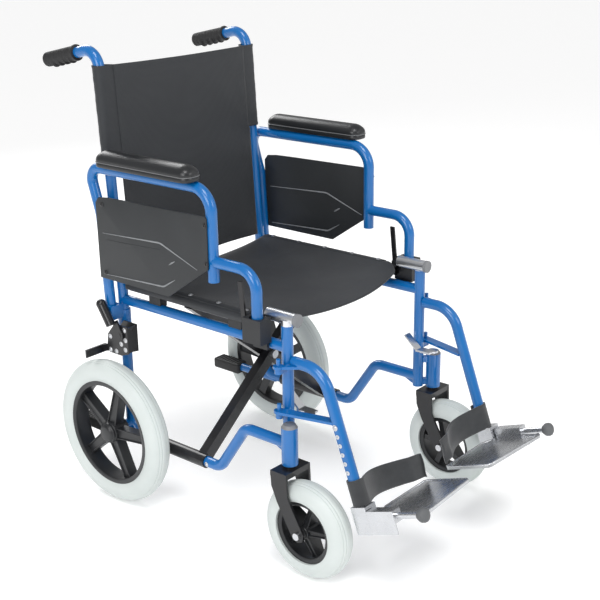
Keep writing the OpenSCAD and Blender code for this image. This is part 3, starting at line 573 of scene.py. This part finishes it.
def cut_plate(name, outline, x0, x1, k, round_mm=0.8):
    """A sheet cut to an outline of (y, z) in millimetres, thick along x, with eased edges."""
    bpy.ops.object.select_all(action="DESELECT")
    bpy.ops.mesh.primitive_circle_add(vertices=len(outline), radius=0.1, fill_type="NGON")
    thing = bpy.context.object
    thing.name = thing.data.name = name
    thing.data.vertices.foreach_set("co", [c for y, z in outline for c in spot(k*x0, y, z)])
    bpy.ops.object.mode_set(mode="EDIT")
    bpy.ops.mesh.select_all(action="SELECT")
    bpy.ops.mesh.extrude_region_move(TRANSFORM_OT_translate={"value": (k*(x1 - x0)/1000, 0, 0)})
    bpy.ops.mesh.select_all(action="SELECT")
    bpy.ops.mesh.normals_make_consistent(inside=False)
    bpy.ops.object.mode_set(mode="OBJECT")
    ease = thing.modifiers.new("ease", "BEVEL")
    ease.width, ease.segments, ease.limit_method = round_mm/1000, 2, "ANGLE"
    bpy.ops.object.modifier_apply(modifier="ease")
    return thing


def rib_along(name, route, x, k, wide, proud):
    """A half-round rib that follows a route of (y, z) on a face at x."""
    rings = []
    for n, (y, z) in enumerate(route):
        a, b = route[max(0, n - 1)], route[min(len(route) - 1, n + 1)]
        run = Vector((b[0] - a[0], b[1] - a[1])).normalized()
        w = wide if 0 < n < len(route) - 1 else wide*0.3
        ring = []
        for m in range(9):
            t = math.pi*m/8
            off = w/2*math.cos(t)
            ring.append(spot(k*(x - 0.4 + proud*math.sin(t)), y - run.y*off, z + run.x*off))
        rings.append(ring)
    return skin(name, rings, 60)


def smooth_route(points, cut=5):
    """Rounds a route's corners with a short curve at each one."""
    route = [points[0]]
    for n in range(1, len(points) - 1):
        p, a, b = Vector(points[n]), Vector(points[n - 1]), Vector(points[n + 1])
        s, e = p + (a - p).normalized()*cut, p + (b - p).normalized()*cut
        route += [tuple(s), tuple(s*0.5625 + p*0.375 + e*0.0625), tuple((s + 2*p + e)/4),
                  tuple(s*0.0625 + p*0.375 + e*0.5625), tuple(e)]
    return route + [points[-1]]


def screw(centre, axis, r=4.0, proud=2.4):
    """A domed pan head on a thin washer, with its drive recess."""
    head = [(0, 0.01), (0, r + 1.6), (0.7, r + 1.5), (0.9, r), (proud*0.6, r*0.93), (proud*0.92, r*0.62),
            (proud, r*0.34), (proud - 0.9, r*0.3), (proud - 1.1, 0.01)]
    return turned("screw", head, centre, axis, 24)


for side, k in SIDES:
    inner_x = 247.4
    outer_x = inner_x + 4
    outline = [(15, 487), (-182, 486), (-291, 560), (-291, 655), (-287, 660), (-60, 657),
               (-20, 656), (6, 653), (15, 642)]
    guard = cut_plate(side + "_guard", outline, inner_x, outer_x, k, 0.9)
    ribs_long = [((-2, 582), (-166, 590), (-264, 555)), ((-4, 497), (-170, 504), (-203, 524))]
    tick = ((-188, 551), (-196, 556), (-205, 561))
    for x, proud in ((outer_x, 1.4), (inner_x + 0.3, -1.4)):
        if proud > 0:
            routes = [smooth_route(line) for line in ribs_long] + [tick]
        else:
            routes = [smooth_route(line[::-1]) for line in (*ribs_long, tick)]
        ribs = [rib_along("rib", route, x, k, 3.6, proud) for route in routes]
        name = side + ("_guard_ribs_outer" if proud > 0 else "_guard_ribs_inner")
        # The ribs take the light grey painted highlight.
        ribs = wear(join(name, ribs), rib_highlight)
        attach(ribs, side + "_armrest")
    groove = rib_along("rib", [(-12, 570), (-60, 571), (-120, 574), (-166, 577)],
                       outer_x, k, 2.4, 0.9)
    guard = wear(tidy_skin(join(side + "_guard", [guard, groove]), 30), panel)
    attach(guard, side + "_armrest")
    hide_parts(side + "_skirt_guard")
    places = [(-288, 643), (-288, 570), (-4, 640), (-2, 500)]
    fixings = [screw(spot(k*outer_x, y, z), Vector((k, 0, 0))) for y, z in places]
    fixings = wear(join(side + "_guard_screws", fixings), black)
    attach(fixings, side + "_armrest")

# ---- Seat sling ----
# One piece of coated nylon between the seat tubes. Its doubled edges are wrapped over the
# tubes under strips and screwed down, and the front corners are cut back.
sling = Finish("coated_nylon", (0.028, 0.031, 0.035), 0.5, sheen=0.12)
warp, weft, rise = (
    sling.node("ShaderNodeTexWave", {"bands_direction": way, "wave_profile": "SIN"},
               {"Vector": sling.place, "Scale": 300.0, "Distortion": 0.4, "Detail": 1.0}, out=1)
    for way in "XYZ")
sling.set("Base Color", sling.tint(sling.noise(7.0, 5.0), (0.012, 0.014, 0.017), (0.022, 0.025, 0.030)))
sling.set("Roughness", 0.52 + 0.16*sling.noise(11.0, 4.0))
sling.bump(warp*weft + warp*rise + 0.5*sling.noise(500.0, 2.0), 0.22, 0.0007)


def front_edge(x):
    if x < 0.175:
        return -428 + 23*(x/0.175)**2
    return -405 + 47*((x - 0.175)/0.039)**1.3


def crease(x, y):
    """Soft pulls that run in from the screws along both edges, in millimetres."""
    pull = 0.0
    for n, yy in enumerate((-60, -140, -215, -290, -360)):
        for s in (-1, 1):
            d = abs(x - s*0.19)
            pull += 0.9*math.exp(-((y - yy - 60*d*(1 if n % 2 else -1))/9)**2)*math.exp(-d/0.07)
    return pull + 0.8*math.sin(x*31 + y*0.021)*math.sin(y*0.017 + 1.3)


def thicken(thing, thickness, offset=0):
    """Gives a drawn surface the thickness of its cloth."""
    alone(thing)
    cloth = thing.modifiers.new("cloth", "SOLIDIFY")
    cloth.thickness, cloth.offset = thickness, offset
    bpy.ops.object.modifier_apply(modifier="cloth")


rows = []
for m in range(91):
    t = m/90
    row = []
    for n in range(81):
        u = -1 + 2*n/80
        s = abs(u)
        if s > 0.93:
            wrap = (s - 0.93)/0.07*math.radians(112)
            x, z = 205 + 13.2*math.sin(wrap), 465 + 13.2*math.cos(wrap) + 0.6
        else:
            x = s/0.93*205
            v = x/205
            z = 478.8 - 15*(1 - v**2.4)
        y = -20 + (front_edge(min(x, 214)/1000) + 20)*t
        inner = max(0.0, 1 - (x/196)**6)
        z += crease(x/1000*math.copysign(1, u), y)*inner*0.8 - 5*inner*max(0, (t - 0.86)/0.14)**2
        row.append(spot(math.copysign(x, u), y, z))
    rows.append(row)
seat = skin("seat_sling", rows, 60)
thicken(seat, 0.0026)
wear(seat, sling)
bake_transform(seat)
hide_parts("seat_cloth")

for body, k in (("rear_leg", -1), ("front_leg", 1)):
    strip = []
    for n in range(41):
        y = -24 - 330*n/40
        strip.append([spot(k*(205 + 14.8*math.sin(a)), y, 465.4 + 14.8*math.cos(a))
                      for a in (math.radians(d) for d in (-38, -34, -20, 0, 20, 34, 38))])
    name = ("left" if k > 0 else "right") + "_seat_edge"
    strip = skin(name, strip, 60)
    thicken(strip, 0.0016)
    wear(strip, sling)
    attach(strip, body)
    heads = [screw(spot(k*205, y, 480.6), Vector((0, 0, 1)), 3.6, 1.8)
             for y in (-45, -120, -195, -270, -340)]
    heads = wear(join(name + "_screws", heads), zinc)
    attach(heads, body)

# ---- Back sling ----
# The same nylon in three parts: a sleeve pulled down over each cane, and the panel sewn
# between them, hemmed along the top, slack in the middle.
def cane(z):
    """How far back the leaning cane has come at a height."""
    return max(0.0, z - cane_foot)*math.tan(lean)


for side, k in SIDES:
    rings = []
    for n in range(61):
        z = 728 + 175*n/60
        w = 0.7*math.sin(z*0.11 + k) + 0.5*math.sin(z*0.31)
        r = 13.6 + 0.3*w + (0.8 if n in (0, 1, 59, 60) else 0)
        ring = [(184, -12.2 + 0.2*w), (196, -r + 0.3)]
        ring += [(frame_x + r*math.sin(a), -r*math.cos(a))
                 for a in (math.radians(d) for d in range(0, 181, 12))]
        ring += [(197, r - 1.6 + 0.5*w), (190, 1.0 + 0.6*w), (184, -9.0), (184, -12.2 + 0.2*w)]
        rings.append([spot(k*x, y + cane(z), z) for x, y in ring])
    sleeve = skin(side + "_back_sleeve", rings, 60)
    thicken(sleeve, 0.0012, -1)
    wear(sleeve, sling)
    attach(sleeve, side + "_frame")

rows = []
for m in range(101):
    z = 484 + (903 - 484)*m/100
    row = []
    for n in range(81):
        u = -1 + 2*n/80
        half = 188 if z < 724 else 188 - 4*min(1, (z - 724)/8)
        x = u*half
        mid = 1 - abs(u)**2.2
        t = (z - 484)/419
        slack = 9*mid*(0.5 + 0.5*math.sin(math.pi*min(1, t*1.1)))
        pull = 1.3*math.sin(u*9 + z*0.018)*math.exp(-((z - 500)/70)**2)
        pull += 1.1*math.sin(u*5 - z*0.03)*math.exp(-((z - 860)/60)**2)*mid
        pull += 0.8*math.exp(-((abs(u) - 0.9)/0.05)**2)*math.sin(z*0.09)
        hem = 0.9 if z > 894 else 0
        row.append(spot(x, -12.4 + cane(z) + slack + pull*0.8 - hem, z - 3*mid*(t > 0.97)))
    rows.append(row)
back = skin("back_panel", rows, 60)
thicken(back, 0.0024)
wear(back, sling)
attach(back, "right_frame")
tuple(spot(-188, -12, 700))
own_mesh(back)
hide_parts("back_cloth")

# ---- Heel straps ----
# A wide webbing strap goes round the foot of each hanger and across behind the heel to the
# plate's inner corner, where its doubled end is stitched down.
webbing = Finish("grey_webbing", (0.045, 0.048, 0.052), 0.8, sheen=0.3)
rows_of_web = webbing.node("ShaderNodeTexWave", {"bands_direction": "Z", "wave_profile": "SIN"},
                           {"Vector": webbing.place, "Scale": 170.0, "Distortion": 1.2, "Detail": 2.0}, out=1)
webbing.set("Base Color", webbing.tint(
    webbing.noise(60.0, 4.0), (0.018, 0.020, 0.022), (0.045, 0.048, 0.052)))
webbing.bump(rows_of_web + 0.6*webbing.noise(700.0, 3.0), 0.35, 0.0009)
tip = math.radians(20)
foot_y, foot_z = -525 - 270*math.sin(tip), 408 - 270*math.cos(tip)


def foot_spot(k, x, y, z):
    """A place on the footrest, x outboard, y back and z up the hanger from the plate's hinge."""
    return spot(k*(208 + x), foot_y + y*math.cos(tip) + z*math.sin(tip),
                foot_z - y*math.sin(tip) + z*math.cos(tip))


for side, k in SIDES:
    line = [(-10, 12.5)] + [(13.2*math.sin(math.radians(d)), 13.2*math.cos(math.radians(d)))
                            for d in range(0, 190, 12)]
    line += [(-8, -13.5), (-14, -10)]
    for n in range(1, 31):
        t = n/30
        line.append((-14 - 156*t,
                     -10 + 22*math.sin(math.pi*min(1, t/0.82)) - 6*max(0, (t - 0.74)/0.26)))
    line += [(-173, -17), (-174.5, -19), (-172, -21)]
    rings = []
    count = len(line)
    for n, (x, y) in enumerate(line):
        t = max(0.0, (n - 18)/(count - 19))
        ring = []
        for m in range(13):
            v = m/12
            low_z, high_z = 16 - 14*t, 66 - 18*t
            ripple = 1.2*math.sin(v*6 + t*7)*min(1, t*4)
            ring.append(foot_spot(k, x, y + ripple, low_z + (high_z - low_z)*v))
        rings.append(ring)
    strap = skin(side + "_strap", rings, 70)
    thicken(strap, 0.0022)
    wear(strap, webbing)
    tuple(foot_spot(k, -40, 0, 40))
    tuple(foot_spot(k, -160, 0, 40))
    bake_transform(strap)
    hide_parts(side + "_heel_strap")

# ---- Bumpers ----
# Grey rubber buffers pushed on the ends of the hinge rods, domed in front, so that a
# footrest does not mark a wall.
buffer_rubber = Finish("grey_rubber", (0.11, 0.115, 0.12), 0.6)
buffer_rubber.bump(buffer_rubber.noise(1100.0, 3.0), 0.2, 0.0006)
for side, k in SIDES:
    shape = [(-10, 6.4), (-10, 8.5), (-8.5, 9.6), (-6, 10.2), (-4.5, 12.4), (-2, 13), (2.5, 13),
             (5.2, 12.2), (7.6, 9.6), (9.2, 5.6), (10, 0.01), (-9.5, 0.01), (-9.5, 6.4)]
    forward = (foot_spot(k, 8, -10, 0) - foot_spot(k, 8, 0, 0)).normalized()
    knob = wear(turned(side + "_knob", shape, foot_spot(k, 8, -142, 0), forward, 40), buffer_rubber)
    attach(knob, side + "_footrest_slider")
    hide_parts(side + "_bumper")

# ---- Footplate edging ----
# Each polished plate has a raised bead round its edge, cast in one with the plate, that
# stops a heel from sliding off.
for side, k in SIDES:
    edge = [(-26, -25), (-44, -14.5), (-168.5, -14.5), (-172.5, -18.5), (-172.5, -111.5),
            (-168, -116), (-10, -131), (-2, -123)]
    rings = []
    for n, (x, y) in enumerate(edge):
        a, b = edge[max(0, n - 1)], edge[min(len(edge) - 1, n + 1)]
        run = Vector((b[0] - a[0], b[1] - a[1])).normalized()
        ring = []
        for m in range(13):
            t = 2*math.pi*m/12
            off = 2.2*math.cos(t)
            ring.append(foot_spot(k, x - run.y*off, y + run.x*off, -4 + 1.6*math.sin(t)))
        rings.append(ring)
    bead = wear(skin(side + "_plate_bead", rings, 50), casting)
    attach(bead, side + "_foot_plate")

# ---- Screws and rivets ----
# Plated pan heads and rivets: brake bracket rivets, the stop screw in the lower rail, the
# socket screw, the hanger's adjusting screw with its row of holes, and the seat tube bolts.
for side, k in SIDES:
    out = Vector((k, 0, 0))
    heads = [screw(spot(k*248.1, y, z), out, 3.6, 2.2)
             for y, z in ((-42, 384), (-42, 342), (-14, 333), (4, 333), (2, 362), (-18, 384),
                          (-30, 352), (-44, 363))]
    heads += [screw(spot(k*(frame_x + 10.7), y, z), out, 3.2, 2.0)
              for y, z in ((-232, 134), (-28, 133))]
    heads = wear(join(side + "_frame_screws", heads), zinc)
    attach(heads, side + "_frame")
    cap = wear(join(side + "_socket_screw", [screw(spot(k*226.6, -387, 433), out, 3.4, 2.2)]), black)
    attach(cap, side + "_frame")
    holes = [screw(foot_spot(k, 10.6, 0, 166 - 17*n), out, 2.6 if n else 4.2, 1.0 if n else 2.6)
             for n in range(6)]
    holes = wear(join(side + "_hanger_screws", holes), zinc)
    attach(holes, side + "_footrest_hanger")

size = {"cad": [list(c) for c in cad_box], "visual": [list(c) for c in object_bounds()]}
